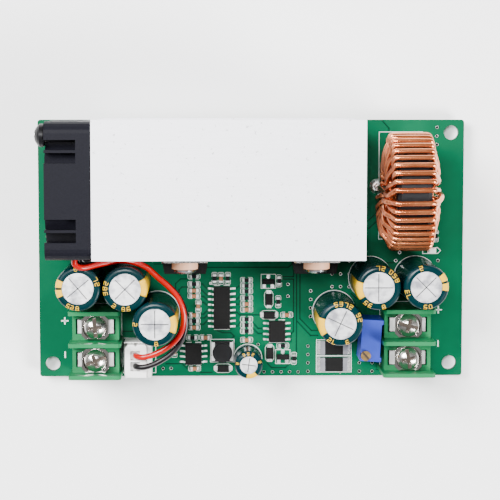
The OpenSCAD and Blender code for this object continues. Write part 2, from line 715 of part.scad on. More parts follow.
// Tinned strip with its tapped hole, bent down into one pin
module terminal_contacts() {
    color(tin) for (n = [1:4]) translate([pole(n)[0], pole(n)[1], 0])
        mirror([n < 3 ? 1 : 0, 0, 0]) difference() {
            union() {
                translate([0, 0, top + shelf_h - contact_t]) slab(8.2, 3.1, contact_t);
                translate([3.6, 0, top + 2]) slab(1, 3.1, shelf_h - 2);
                translate([3.6, 0, -tail]) slab(1, 1.2, tail + top + 2 + eps);
            }
            translate([0, 0, top + shelf_h - 3]) cylinder(r = 1.5, h = 5);
        }
}

// Square wire clamp with bevelled corners, dished for the screw's head and grooved below
module wire_clamp(n) {
    rest = top + shelf_h;
    color(tin) translate([pole(n)[0], pole(n)[1], rest]) difference() {
        linear_extrude(clamp_t) bevel_rect(clamp_w, clamp_d, 0.9);
        // the sides stand up as wings round the dish, and are lower at the front and back
        translate([0, 0, clamp_dish]) cylinder(d1 = 5.3, d2 = 5.6, h = 1.2);
        for (y = [-1, 1]) translate([0, y * 3.4, clamp_dish + 0.3]) slab(3.4, 3, 2);
        translate([0, 0, -1]) cylinder(d = 3.2, h = 4);
        for (x = [-1, 1]) translate([x * 2.3, 0, -0.2]) rotate([0, 45, 0])
            translate([-0.25, -4, -0.25]) cube([0.5, 8, 0.5]);
    }
}

module wire_clamp_1() { wire_clamp(1); }
module wire_clamp_2() { wire_clamp(2); }
module wire_clamp_3() { wire_clamp(3); }
module wire_clamp_4() { wire_clamp(4); }

module terminal_screw(n) {
    color(steel) translate([pole(n)[0], pole(n)[1], top + shelf_h + clamp_dish]) rotate(screw_turn[n - 1])
        pan_screw(5.1, 2.2, 3 - 2 * running, 6.2);
}

module terminal_screw_1() { terminal_screw(1); }
module terminal_screw_2() { terminal_screw(2); }
module terminal_screw_3() { terminal_screw(3); }
module terminal_screw_4() { terminal_screw(4); }

// ---------------------------------------------------------------- capacitors

sleeve_t = 0.15;
bung_h = 1.2;             // rubber bung, inside the can's rolled foot

// Half section of a can: rolled foot, groove, wall and round shoulder
function can_outline(r, h) = concat(
    [[0, bung_h], [r - 1.2, bung_h], [r - 1.2, 0.5], [r - 0.4, 0.5], [r, 0.8], [r, 1.9]],
    arc(r + 0.25, 2.5, 0.65, -110, -250, 4), [[r, 3.1]],
    arc(r - 0.7, h - 0.7, 0.7, 0, 90, 4), [[0, h]]);

// Half section of the sleeve that follows the can and laps over its shoulder
function sleeve_outline(r, h, lap) = concat(
    [[r - 0.8, 0.5], [r - 0.8, 0.5 - sleeve_t], [r - 0.3, 0.5 - sleeve_t], [r + sleeve_t, 0.7],
     [r + sleeve_t, 1.9]],
    arc(r + 0.25 + sleeve_t, 2.5, 0.65, -110, -250, 4), [[r + sleeve_t, 3.1]],
    arc(r - 0.7, h - 0.7, 0.7 + sleeve_t, 0, 90, 4), [[lap, h + sleeve_t], [lap, h]],
    arc(r - 0.7, h - 0.7, 0.7, 90, 0, 4), [[r, 3.1]],
    arc(r + 0.25, 2.5, 0.65, -250, -110, 4), [[r, 1.9], [r, 0.8], [r - 0.4, 0.5]]);

module at_cap(c) { translate([c[0], c[1], top]) children(); }

module capacitor_sleeve(n) {
    color(teal) at_cap(caps[n - 1]) rotate_extrude()
        polygon(sleeve_outline(cap_d / 2 - sleeve_t, cap_h, lid_r));
}

module capacitor_sleeve_1() { capacitor_sleeve(1); }
module capacitor_sleeve_2() { capacitor_sleeve(2); }
module capacitor_sleeve_3() { capacitor_sleeve(3); }
module capacitor_sleeve_4() { capacitor_sleeve(4); }
module capacitor_sleeve_5() { capacitor_sleeve(5); }
module capacitor_sleeve_6() { capacitor_sleeve(6); }

module small_capacitor_sleeve() {
    color(teal) at_cap(small_cap) rotate_extrude()
        polygon(sleeve_outline(small_cap_d / 2 - sleeve_t, small_cap_h, 2.0));
}

// Cross that is scored into a lid, where the can would vent
module score(turn, length, height) {
    for (k = [0, 90]) rotate(turn + k)
        translate([0, 0, height - 0.15]) slab(length, 0.22, 1);
}

// Cans, with the vent scored across each lid
module capacitor_cans() {
    color(aluminium) {
        for (i = [0:len(caps) - 1]) at_cap(caps[i]) difference() {
            rotate_extrude() polygon(can_outline(cap_d / 2 - sleeve_t, cap_h));
            score(scores[i], 2 * lid_r - 0.8, cap_h);
        }
        at_cap(small_cap) difference() {
            rotate_extrude()
                polygon(can_outline(small_cap_d / 2 - sleeve_t, small_cap_h));
            score(small_score, 3.2, small_cap_h);
        }
    }
}

// Leads with the rubber bung that they come through
module capacitor_leads() {
    color([0.3, 0.3, 0.3]) {
        for (c = caps) at_cap(c) translate([0, 0, 0.3])
            cylinder(r = cap_d / 2 - sleeve_t - 1.2, h = bung_h - 0.3);
        at_cap(small_cap) translate([0, 0, 0.3])
            cylinder(r = small_cap_d / 2 - sleeve_t - 1.2, h = bung_h - 0.3);
        for (p = cap_leads) translate([p[0], p[1], -tail])
            cylinder(d = 0.6, h = tail + top + 0.4, $fn = 16);
        for (p = small_leads) translate([p[0], p[1], -tail])
            cylinder(d = 0.5, h = tail + top + 0.4, $fn = 16);
    }
}

// ---------------------------------------------------------------- trimmer

trimmer_size = [4.5, 9.6, 10];

module at_trimmer() {
    translate([trimmer_at[0], trimmer_at[1], top]) rotate(trimmer_turn) children();
}

// Sealed housing with wider ends on one side, feet below and a well for the screw
module trimmer_body() {
    color(blue_plastic) at_trimmer() difference() {
        union() {
            translate([0, 0, 0.5]) slab(trimmer_size[0], trimmer_size[1], trimmer_size[2] - 0.5);
            for (y = [-1, 1]) translate([0.2, y * (trimmer_size[1] / 2 - 0.5), 0])
                slab(trimmer_size[0] + 0.3, 1, trimmer_size[2]);
        }
        translate([trimmer_screw_at[0], trimmer_screw_at[1], trimmer_size[2] - 1])
            cylinder(d = 2.4, h = 2, $fn = 32);
    }
}

module trimmer_screw() {
    color(brass) at_trimmer()
        translate([trimmer_screw_at[0], trimmer_screw_at[1], trimmer_size[2] - 1]) difference() {
            cylinder(d = 2.3, h = 1.7, $fn = 32);
            translate([0, 0, 1.1]) rotate(-45) slab(3, 0.5, 1);
        }
}

module trimmer_pins() {
    color(tin) for (p = trimmer_leads) translate([p[0], p[1], -tail])
        cylinder(d = 0.5, h = tail + top + 0.5, $fn = 16);
}

// ---------------------------------------------------------------- surface-mount parts

// Moulded body with a narrower top, lifted off the board
module chip_body(w, l, h, lift = 0.15) {
    mid = (h - lift) / 2;
    translate([0, 0, lift]) rotate([90, 0, 0]) translate([0, 0, -l / 2]) linear_extrude(l)
        polygon([[-w/2 + 0.1, 0], [w/2 - 0.1, 0], [w/2, mid], [w/2 - 0.15, h - lift],
                 [0.15 - w/2, h - lift], [-w/2, mid]]);
}

// Gull-wing pin that runs out along +X from the body's side
module gull_pin(body, reach, w) {
    t = 0.2;
    translate([0, w / 2, 0]) rotate([90, 0, 0]) linear_extrude(w) polygon([
        [body, 0.8], [body + 0.3, 0.8], [body + 0.6, t], [reach, t], [reach, 0],
        [body + 0.45, 0], [body + 0.15, 0.6], [body, 0.6]]);
}

module pin_row(body, reach, w, count, pitch) {
    for (i = [0:count - 1]) translate([0, (i - (count - 1) / 2) * pitch, 0])
        for (side = [0, 1]) mirror([side, 0, 0]) gull_pin(body, reach, w);
}

module on_board(p) { translate([p[0], p[1], top]) rotate(len(p) > 2 ? p[2] : 0) children(); }

module control_chips() {
    color(black_plastic) {
        on_board(sop16_at) chip_body(3.9, 9.9, 1.6);
        for (p = sop8_at) on_board(p) chip_body(3.9, 4.9, 1.6);
    }
}

module chip_pins() {
    color(tin) {
        on_board(sop16_at) pin_row(1.94, 3, 0.42, 8, 1.27);
        for (p = sop8_at) on_board(p) pin_row(1.94, 3, 0.42, 4, 1.27);
        for (p = diodes_at) on_board(p) for (side = [0, 1]) mirror([side, 0, 0])
            translate([1.2, -0.45, 0]) cube([p[3] - 1.2, 0.9, 0.14]);
        for (p = sot23_at) on_board(p) {
            for (x = [-0.95, 0.95]) translate([x - 0.2, -1.3, 0]) cube([0.4, 0.7, 0.14]);
            translate([-0.2, 0.6, 0]) cube([0.4, 0.7, 0.14]);
        }
    }
}

// Ferrite drum on a square base
module small_inductor() {
    color([0.2, 0.2, 0.22]) on_board(small_inductor_at) {
        linear_extrude(1.2) bevel_rect(5.1, 4.8, 0.4);
        rotate_extrude() polygon([[0, 1], [1.9, 1], [1.9, 2.6], [2.2, 2.6], [2.3, 2.7], [2.3, 3.4],
                                  [2.2, 3.5], [0, 3.5]]);
    }
}

module shunt_resistors() {
    color([0.15, 0.15, 0.15]) for (p = shunts_at) on_board(p) slab(6.4, 3.2, 0.65);
}

module diodes() {
    color(black_plastic) for (p = diodes_at) on_board(p) chip_body(2.7, 1.6, 1.1, 0.14);
}

module small_transistors() {
    color(black_plastic) for (p = sot23_at) on_board(p) rotate(90) chip_body(1.3, 2.9, 1.0, 0.14);
}

module chip_resistors() {
    color([0.15, 0.15, 0.16]) for (p = resistors_at) on_board(p) slab(1.6, 0.8, 0.45);
}

module chip_capacitors() {
    color([0.62, 0.40, 0.25]) for (p = capacitors_at) on_board(p) slab(1.6, 0.8, 0.8);
}

module status_led() {
    color("white") on_board(led_at) {
        slab(2.0, 1.25, 0.35);
        translate([0, 0, 0.35 - eps]) slab(1.2, 1.1, 0.5);
    }
}

// ---------------------------------------------------------------- build

circuit_board();
solder_joints();
heat_sink();
heat_sink_screws();
fan_frame();
fan_impeller();
fan_rotor_cup();
fan_magnet();
fan_shaft();
fan_bearing();
fan_stator();
fan_coils();
fan_drive_board();
fan_screws();
fan_lead_red();
fan_lead_black();
fan_plug();
fan_header();
fan_header_pins();
inductor_core();
inductor_winding();
left_transistor_case();
left_transistor_tab();
right_transistor_case();
right_transistor_tab();
insulating_pads();
insulating_bushings();
transistor_screws();
input_terminal_housing();
output_terminal_housing();
terminal_contacts();
wire_clamp_1();
wire_clamp_2();
wire_clamp_3();
wire_clamp_4();
terminal_screw_1();
terminal_screw_2();
terminal_screw_3();
terminal_screw_4();
capacitor_sleeve_1();
capacitor_sleeve_2();
capacitor_sleeve_3();
capacitor_sleeve_4();
capacitor_sleeve_5();
capacitor_sleeve_6();
small_capacitor_sleeve();
capacitor_cans();
capacitor_leads();
trimmer_body();
trimmer_screw();
trimmer_pins();
control_chips();
chip_pins();
small_inductor();
shunt_resistors();
diodes();
small_transistors();
chip_resistors();
chip_capacitors();
status_led();
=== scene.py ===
"""Looks of the fan-cooled buck converter module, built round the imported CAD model.

Lengths in the tables below are millimetres, in the CAD model's own frame: the origin is the centre
of the mounting holes on the board's underside, X along the board, Y towards the fin tips, Z up.
"""
import json
import math

import bmesh
import bpy
import numpy as np
from mathutils import Matrix, Vector


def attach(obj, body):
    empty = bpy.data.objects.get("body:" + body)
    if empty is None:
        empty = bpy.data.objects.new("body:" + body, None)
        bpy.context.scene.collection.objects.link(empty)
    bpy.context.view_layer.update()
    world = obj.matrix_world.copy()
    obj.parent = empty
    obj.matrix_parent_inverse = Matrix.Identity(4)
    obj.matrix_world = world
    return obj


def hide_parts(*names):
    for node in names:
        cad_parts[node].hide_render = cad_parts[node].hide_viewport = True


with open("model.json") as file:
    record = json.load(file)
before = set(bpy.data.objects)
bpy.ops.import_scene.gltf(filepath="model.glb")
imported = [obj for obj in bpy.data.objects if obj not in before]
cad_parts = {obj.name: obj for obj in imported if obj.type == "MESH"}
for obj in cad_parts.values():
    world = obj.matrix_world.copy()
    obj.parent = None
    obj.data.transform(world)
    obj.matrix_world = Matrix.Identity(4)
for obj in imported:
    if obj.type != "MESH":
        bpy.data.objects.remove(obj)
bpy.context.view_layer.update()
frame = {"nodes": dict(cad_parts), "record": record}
NODES = frame["nodes"]
ROOT = "module"
MM = 0.001
TOP = 1.6                 # upper face of the board
TAIL = 2.0                # solder tails below the board, on which the module stands


# ------------------------------------------------------------------ camera, light, floor

CAMERA_AT = (-8.48, 35.41, 406.6)
CAMERA_TARGET = (-0.3, -0.35, 1.6)
LENS = 125.4              # focal length on a sensor 36 wide


def make_camera():
    place = Vector(CAMERA_AT) * MM
    target = Vector(CAMERA_TARGET) * MM
    data = bpy.data.cameras.new("camera")
    data.sensor_width = 36
    data.lens = LENS
    data.clip_start, data.clip_end = 0.01, 20
    cam = bpy.data.objects.new("camera", data)
    bpy.context.scene.collection.objects.link(cam)
    ahead = (target - place).normalized()
    right = ahead.cross(Vector((0, 1, 0))).normalized()
    up = right.cross(ahead)
    turn = Matrix((right, up, -ahead)).transposed().to_4x4()
    cam.matrix_world = Matrix.Translation(place) @ turn
    bpy.context.scene.camera = cam


def area_light(name, place, size, watts):
    """Rectangular lamp at a place in metres, aimed at the origin."""
    data = bpy.data.lights.new(name, "AREA")
    data.shape = "RECTANGLE"
    data.size, data.size_y = size
    data.energy = watts
    lamp = bpy.data.objects.new(name, data)
    bpy.context.scene.collection.objects.link(lamp)
    lamp.location = place
    lamp.rotation_euler = (-Vector(place)).to_track_quat("-Z", "Y").to_euler()


def make_light():
    area_light("key", (-0.50, 0.35, 0.70), (0.40, 0.40), 24)
    area_light("fill", (0.60, -0.35, 0.55), (0.35, 0.35), 17)
    area_light("overhead", (-0.10, 0.20, 0.95), (0.25, 0.18), 9)
    world = bpy.data.worlds.new("studio")
    world.use_nodes = True
    sky = world.node_tree.nodes["Background"]
    sky.inputs["Color"].default_value = (1, 1, 1, 1)
    sky.inputs["Strength"].default_value = 0.28
    bpy.context.scene.world = world


# ------------------------------------------------------------------ materials

def node(tree, kind, **values):
    n = tree.nodes.new(kind)
    for key, value in values.items():
        n.inputs[key.replace("_", " ")].default_value = value
    return n


def material(name, colour, rough=0.4, metal=0.0, vary=0.06, scale=900, bump=0.0, bump_scale=4000,
             stretch=(1, 1, 1), coat=0.0, second=None, second_scale=300, second_edge=(0.45, 0.6),
             rough_vary=0.08, specular=0.5):
    """Principled material whose colour, roughness and relief vary in the object's own space."""
    m = bpy.data.materials.new(name)
    m.use_nodes = True
    t = m.node_tree
    shader = t.nodes["Principled BSDF"]
    shader.inputs["Metallic"].default_value = metal
    shader.inputs["Coat Weight"].default_value = coat
    shader.inputs["Coat Roughness"].default_value = 0.08
    shader.inputs["Specular IOR Level"].default_value = specular
    where = t.nodes.new("ShaderNodeTexCoord")
    squash = node(t, "ShaderNodeMapping")
    squash.inputs["Scale"].default_value = stretch
    t.links.new(where.outputs["Object"], squash.inputs["Vector"])

    grain = node(t, "ShaderNodeTexNoise", Scale=scale, Detail=4.0, Roughness=0.6)
    t.links.new(squash.outputs["Vector"], grain.inputs["Vector"])
    tint = node(t, "ShaderNodeMapRange", To_Min=1 - vary, To_Max=1 + vary)
    t.links.new(grain.outputs["Fac"], tint.inputs["Value"])
    base = node(t, "ShaderNodeMix")
    base.data_type = "RGBA"
    base.inputs["A"].default_value = (*colour, 1)
    base.inputs["B"].default_value = (*(second or colour), 1)
    if second:
        patches = node(t, "ShaderNodeTexNoise", Scale=second_scale, Detail=3.0)
        t.links.new(where.outputs["Object"], patches.inputs["Vector"])
        edge = node(t, "ShaderNodeMapRange", From_Min=second_edge[0], From_Max=second_edge[1])
        t.links.new(patches.outputs["Fac"], edge.inputs["Value"])
        t.links.new(edge.outputs["Result"], base.inputs["Factor"])
    else:
        base.inputs["Factor"].default_value = 0
    scaled = node(t, "ShaderNodeVectorMath")
    scaled.operation = "SCALE"
    t.links.new(base.outputs["Result"], scaled.inputs["Vector"])
    t.links.new(tint.outputs["Result"], scaled.inputs["Scale"])
    t.links.new(scaled.outputs["Vector"], shader.inputs["Base Color"])

    gloss = node(t, "ShaderNodeMapRange", To_Min=max(0.02, rough - rough_vary),
                 To_Max=min(1, rough + rough_vary))
    t.links.new(grain.outputs["Fac"], gloss.inputs["Value"])
    t.links.new(gloss.outputs["Result"], shader.inputs["Roughness"])
    if bump:
        relief = node(t, "ShaderNodeTexNoise", Scale=bump_scale, Detail=5.0)
        t.links.new(squash.outputs["Vector"], relief.inputs["Vector"])
        raised = node(t, "ShaderNodeBump", Strength=bump, Distance=0.0001)
        t.links.new(relief.outputs["Fac"], raised.inputs["Height"])
        t.links.new(raised.outputs["Normal"], shader.inputs["Normal"])
    return m


LOOKS = {
    "board": dict(colour=(0.0, 0.068, 0.029), rough=0.42, vary=0.10, scale=220,
                  second=(0.0, 0.082, 0.035), second_scale=60, bump=0.15, bump_scale=1500,
                  specular=0.05),
    "gap": dict(colour=(0.0, 0.020, 0.010), rough=0.42, vary=0.10, scale=300, specular=0.05),
    "silk": dict(colour=(0.70, 0.72, 0.70), rough=0.6, vary=0.08, scale=2500, bump=0.2),
    "solder": dict(colour=(0.90, 0.90, 0.89), rough=0.28, metal=1.0, vary=0.10, scale=1500,
                   bump=0.25, bump_scale=1800),
    "bare_aluminium": dict(colour=(0.86, 0.86, 0.905), rough=0.50, metal=0.15, vary=0.06,
                           scale=2600, bump=0.22, bump_scale=3600, rough_vary=0.06,
                           stretch=(0.04, 1, 1), second=(0.50, 0.50, 0.52), second_scale=1300,
                           second_edge=(0.66, 0.74)),
    "zinc_steel": dict(colour=(0.50, 0.50, 0.52), rough=0.20, metal=1.0, vary=0.08),
    "black_plastic": dict(colour=(0.0055, 0.0055, 0.0085), rough=0.45, vary=0.45, scale=3500,
                          bump=0.25, bump_scale=6000, specular=0.06),
    "sheet_steel": dict(colour=(0.35, 0.35, 0.37), rough=0.35, metal=1.0),
    "ferrite": dict(colour=(0.007, 0.007, 0.008), rough=0.5, vary=0.2, bump=0.3, specular=0.12),
    "polished_steel": dict(colour=(0.60, 0.60, 0.61), rough=0.15, metal=1.0),
    "bronze": dict(colour=(0.45, 0.26, 0.10), rough=0.45, metal=1.0),
    "copper": dict(colour=(0.74, 0.250, 0.100), rough=0.18, metal=0.9, vary=0.10, scale=400,
                   coat=0.3, second=(0.62, 0.180, 0.064), second_scale=160),
    "drive_board": dict(colour=(0.003, 0.09, 0.03), rough=0.4, coat=0.3),
    "black_steel": dict(colour=(0.006, 0.006, 0.007), rough=0.35, metal=0.2, vary=0.12,
                        specular=0.15),
    "red_insulation": dict(colour=(0.36, 0.0, 0.0), rough=0.2, vary=0.05, coat=0.15, specular=0.3),
    "black_insulation": dict(colour=(0.004, 0.003, 0.004), rough=0.30, vary=0.1, coat=0.1,
                             specular=0.25),
    "white_nylon": dict(colour=(0.84, 0.83, 0.81), rough=0.42, vary=0.03, bump=0.1),
    "tinned": dict(colour=(0.90, 0.90, 0.89), rough=0.3, metal=1.0, vary=0.08),
    "coated_iron_powder": dict(colour=(0.004, 0.004, 0.005), rough=0.42, vary=0.3, bump=0.6,
                               bump_scale=2500, specular=0.2),
    "moulding_compound": dict(colour=(0.005, 0.005, 0.005), rough=0.55, vary=0.25, scale=2500,
                              bump=0.45, bump_scale=5000, specular=0.07),
    "tinned_copper": dict(colour=(0.66, 0.65, 0.62), rough=0.28, metal=1.0, vary=0.08),
    "silicone_pad": dict(colour=(0.40, 0.40, 0.37), rough=0.8, vary=0.08, bump=0.3),
    "tan_nylon": dict(colour=(0.62, 0.33, 0.20), rough=0.45, vary=0.05),
    "green_housing": dict(colour=(0.008, 0.140, 0.048), rough=0.38, vary=0.05, scale=500, bump=0.12,
                          bump_scale=2500, specular=0.15),
    "nickel_clamp": dict(colour=(0.66, 0.64, 0.60), rough=0.1, metal=1.0, vary=0.05),
    "nickel_screw": dict(colour=(0.60, 0.575, 0.54), rough=0.24, metal=1.0, vary=0.10, scale=1500,
                         bump=0.12, bump_scale=2500),
    # dark brown for the floors of the screw recesses and the trimmer's slot: painted shade
    "recess": dict(colour=(0.055, 0.042, 0.032), rough=0.45, metal=0.6, vary=0.20, scale=2500),
    "teal_sleeve": dict(colour=(0.0, 0.014, 0.017), rough=0.22, vary=0.10, specular=0.14),
    "capacitor_aluminium": dict(colour=(0.74, 0.74, 0.75), rough=0.42, metal=0.8, vary=0.14,
                                scale=2200, stretch=(0.12, 1, 1), bump=0.16, bump_scale=2600,
                                second=(0.30, 0.30, 0.33), second_scale=420,
                                second_edge=(0.44, 0.66)),
    "bung_and_leads": dict(colour=(0.02, 0.02, 0.02), rough=0.7, vary=0.1, specular=0.1),
    "blue_plastic": dict(colour=(0.030, 0.055, 0.40), rough=0.42, vary=0.05, bump=0.1,
                         specular=0.15),
    "trimmer_brass": dict(colour=(0.78, 0.50, 0.20), rough=0.24, metal=1.0, vary=0.08),
    "shunt_coat": dict(colour=(0.005, 0.005, 0.005), rough=0.40, vary=0.12, bump=0.2, specular=0.1),
    "shunt_metal": dict(colour=(0.30, 0.30, 0.33), rough=0.35, metal=0.9, vary=0.10, scale=900),
    "resistor_coat": dict(colour=(0.004, 0.004, 0.005), rough=0.35, vary=0.12, specular=0.12),
    "capacitor_ceramic": dict(colour=(0.22, 0.080, 0.025), rough=0.5, vary=0.12, bump=0.2),
    "led_epoxy": dict(colour=(0.76, 0.76, 0.70), rough=0.2, vary=0.04, coat=0.4),
    "stripe": dict(colour=(0.66, 0.38, 0.0), rough=0.30, vary=0.06, coat=0.05, specular=0.2),
    # near-black fills in the vias: painted shade for the shadow inside the holes
    "painted_via_shade": dict(colour=(0.004, 0.005, 0.004), rough=0.7, vary=0.2, specular=0.05),
    # dark grey for the floors of the lids' vent grooves: painted shade
    "groove": dict(colour=(0.03, 0.03, 0.034), rough=0.6, vary=0.10, scale=1500),
}
MATERIALS = {}


def look(name):
    if name not in MATERIALS:
        MATERIALS[name] = material(name, **LOOKS[name])
    return MATERIALS[name]


def dress_cad_nodes():
    """Gives each carried-over CAD node the look of its material slot."""
    slots = {row["node"]: row["material_slot"] for row in frame["record"]["subparts"]}
    for name, obj in NODES.items():
        obj.data.materials.clear()
        obj.data.materials.append(look(slots[name]))


def round_edges(obj, width):
    bevel = obj.modifiers.new("bevel", "BEVEL")
    bevel.width = width * MM
    bevel.segments = 2
    bevel.limit_method = "ANGLE"
    bevel.angle_limit = math.radians(40)
    bevel.harden_normals = True


def soften(name, width):
    """Small rounds on a CAD node's sharp edges."""
    weld = NODES[name].modifiers.new("weld", "WELD")
    weld.merge_threshold = 2e-6
    round_edges(NODES[name], width)


# ------------------------------------------------------------------ mesh building

def loop_faces(rings, n):
    """Faces of a closed band: rings of n points each, of which the last joins the first."""
    faces = []
    for k in range(rings):
        m = (k + 1) % rings
        for i in range(n):
            j = (i + 1) % n
            faces.append([k * n + i, k * n + j, m * n + j, m * n + i])
    return faces


class Shape:
    """Collects simple solids, in millimetres, and makes one piece of them."""

    def __init__(self):
        self.verts, self.faces, self.smooth = [], [], []

    def add(self, verts, faces, smooth=False, place=None):
        if place is not None:
            verts = [place @ Vector(v) for v in verts]
        start = len(self.verts)
        self.verts += [tuple(v) for v in verts]
        self.faces += [[start + i for i in f] for f in faces]
        self.smooth += [smooth] * len(faces)

    def prism(self, outline, z0, z1, place=None):
        n = len(outline)
        low = [(x, y, z0) for x, y in outline]
        high = [(x, y, z1) for x, y in outline]
        walls = [[i, (i + 1) % n, n + (i + 1) % n, n + i] for i in range(n)]
        self.add(low + high, walls + [list(range(n))[::-1], list(range(n, 2 * n))], place=place)

    def box(self, low, high, place=None):
        (x0, y0, z0), (x1, y1, z1) = low, high
        self.prism([(x0, y0), (x1, y0), (x1, y1), (x0, y1)], z0, z1, place)

    def side_box(self, side, x, y, z, place=None):
        """Box from x[0] to x[1] out on the side -1 or 1; y and z are its other bounds."""
        a, b = sorted((side * x[0], side * x[1]))
        self.box((a, y[0], z[0]), (b, y[1], z[1]), place)

    def line(self, a, b, width, z0, z1):
        """Flat bar from a to b."""
        (ax, ay), (bx, by) = a, b
        length = math.hypot(bx - ax, by - ay)
        nx, ny = -(by - ay) / length * width / 2, (bx - ax) / length * width / 2
        ex, ey = (bx - ax) / length * width / 2, (by - ay) / length * width / 2
        self.prism([(ax - ex - nx, ay - ey - ny), (bx + ex - nx, by + ey - ny),
                    (bx + ex + nx, by + ey + ny), (ax - ex + nx, ay - ey + ny)], z0, z1)

    def route(self, points, width, z0, z1, place=None):
        """Flat line through points, laid in another frame if place is given."""
        if place is not None:
            points = [tuple((place @ Vector((*p, 0))).xy) for p in points]
        for a, b in zip(points, points[1:]):
            self.line(a, b, width, z0, z1)

    def frame_line(self, x0, y0, x1, y1, width, z0, z1):
        """Rectangle drawn as a line of that width."""
        self.band([(x0, y0), (x1, y0), (x1, y1), (x0, y1)], width, z0, z1)

    def band(self, outline, width, z0, z1):
        """Closed flat band that follows an outline, which runs anticlockwise."""
        n = len(outline)
        inner, outer = [], []
        for i in range(n):
            a, b, c = (Vector(outline[(i + k) % n]) for k in (-1, 0, 1))
            d1, d2 = (b - a).normalized(), (c - b).normalized()
            n1, n2 = Vector((-d1.y, d1.x)), Vector((-d2.y, d2.x))
            mitre = (n1 + n2) / (1 + n1.dot(n2))
            inner.append(b + mitre * width / 2)
            outer.append(b - mitre * width / 2)
        rings = [[(p.x, p.y, z) for p in loop]
                 for loop, z in ((outer, z0), (outer, z1), (inner, z1), (inner, z0))]
        self.add([v for ring in rings for v in ring], loop_faces(4, n))

    def ring(self, centre, r0, r1, z0, z1, steps):
        """Flat washer, square in section."""
        verts = []
        for r, z in ((r1, z0), (r1, z1), (r0, z1), (r0, z0)):
            for i in range(steps):
                a = math.radians(360 * i / steps)
                verts.append((centre[0] + r * math.cos(a), centre[1] + r * math.sin(a), z))
        self.add(verts, loop_faces(4, steps))

    def turned(self, outline, steps, place):
        """Solid of revolution about Z; the outline is (radius, z) from the axis and back to it."""
        verts = [(r * math.cos(2 * math.pi * i / steps), r * math.sin(2 * math.pi * i / steps), z)
                 for r, z in outline for i in range(steps)]
        faces = []
        for k in range(len(outline) - 1):
            for i in range(steps):
                j = (i + 1) % steps
                faces.append([k * steps + i, k * steps + j, (k + 1) * steps + j,
                              (k + 1) * steps + i])
        self.add(verts, faces, place=place)

    def tube(self, points, radius, sides):
        """Round tube along points, with flat ends."""
        p = [Vector(q) for q in points]
        side = None
        verts = []
        for i, q in enumerate(p):
            ahead = (p[min(i + 1, len(p) - 1)] - p[max(i - 1, 0)]).normalized()
            if side is None:
                side = Vector((0, 0, 1)) if abs(ahead.z) < 0.9 else Vector((1, 0, 0))
            side = (side - ahead * side.dot(ahead)).normalized()
            other = ahead.cross(side)
            for k in range(sides):
                a = 2 * math.pi * (k + 0.5) / sides
                verts.append(q + radius * (math.cos(a) * side + math.sin(a) * other))
        faces = [[i * sides + k, i * sides + (k + 1) % sides,
                  (i + 1) * sides + (k + 1) % sides, (i + 1) * sides + k]
                 for i in range(len(p) - 1) for k in range(sides)]
        last = (len(p) - 1) * sides
        self.add(verts, faces, True)
        self.add(verts[:sides] + verts[-sides:],
                 [list(range(sides))[::-1], list(range(sides, 2 * sides))])

    def piece(self, name, look_name, body=ROOT, bevel=0.0):
        """Makes the piece, which moves with that body and fills that material slot."""
        mesh = bpy.data.meshes.new(name)
        mesh.from_pydata([[c * MM for c in v] for v in self.verts], [], self.faces)
        mesh.polygons.foreach_set("use_smooth", self.smooth)
        bm = bmesh.new()
        bm.from_mesh(mesh)
        bmesh.ops.remove_doubles(bm, verts=bm.verts, dist=1e-7)
        bmesh.ops.recalc_face_normals(bm, faces=bm.faces)
        bm.to_mesh(mesh)
        bm.free()
        obj = bpy.data.objects.new(name, mesh)
        bpy.context.scene.collection.objects.link(obj)
        obj.data.materials.append(look(look_name))
        if bevel:
            round_edges(obj, bevel)
        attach(obj, body)
        return obj


def smooth_route(points, n):
    """Catmull-Rom points through a route, n to each stretch."""
    p = [np.array(q, float) for q in points]
    made = []
    for i in range(len(p) - 1):
        a, b, c, d = p[max(i - 1, 0)], p[i], p[i + 1], p[min(i + 2, len(p) - 1)]
        for k in range(n):
            t = k / n
            made.append(0.5 * (2 * b + (c - a) * t + (2 * a - 5 * b + 4 * c - d) * t * t
                               + (3 * b - a - 3 * c + d) * t ** 3))
    made.append(p[-1])
    return [tuple(q) for q in made]


# ------------------------------------------------------------------ fan leads

LEAD_D = 1.3
RED_ROUTE = [
    (-38.1, 10.1, 19.8), (-38.1, 6.8, 21.4), (-38.2, 4.0, 23.1), (-38.6, 1.7, 24.6),
    (-39.3, -0.3, 25.2), (-39.1, -1.6, 25.1), (-37.4, -2.2, 24.6), (-34.0, -1.6, 22.5),
    (-30.0, -1.1, 20.2), (-27.0, -1.4, 18.7), (-23.9, -2.8, 17.6), (-21.4, -5.1, 16.7),
    (-18.9, -7.4, 16.0), (-16.7, -10.2, 15.3), (-15.6, -13.5, 14.7), (-15.8, -16.8, 14.0),
    (-17.2, -19.6, 13.4), (-19.7, -21.8, 13.0), (-22.5, -23.3, 12.7), (-24.9, -23.9, 12.4),
    (-26.5, -23.85, 11.4), (-26.8, -23.85, 9.6)]
BLACK_ROUTE = [
    (-38.1, 10.5, 17.9), (-38.1, 7.1, 19.5), (-38.1, 4.2, 21.3), (-38.1, 1.7, 22.7),
    (-38.1, -0.1, 23.2), (-37.4, -1.1, 22.7), (-35.2, -1.1, 21.0), (-32.4, -1.0, 19.3),
    (-29.5, -1.0, 17.9), (-26.6, -1.5, 16.8), (-23.7, -3.0, 15.9), (-21.2, -5.4, 15.1),
    (-18.7, -7.6, 14.4), (-16.5, -10.3, 13.8), (-15.3, -13.6, 13.2), (-15.2, -17.2, 12.7),
    (-16.3, -20.4, 12.3), (-18.5, -23.1, 12.2), (-21.5, -25.1, 12.2), (-24.5, -26.2, 12.2),
    (-26.4, -26.35, 11.3), (-26.8, -26.35, 9.6)]


def make_leads():
    for colour, route in (("red", RED_ROUTE), ("black", BLACK_ROUTE)):
        line = smooth_route(route, 5)
        lead = Shape()
        lead.tube(line, LEAD_D / 2, 16)
        obj = lead.piece("lead_" + colour, colour + "_insulation")
        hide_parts("fan_lead_" + colour)


# ------------------------------------------------------------------ inductor

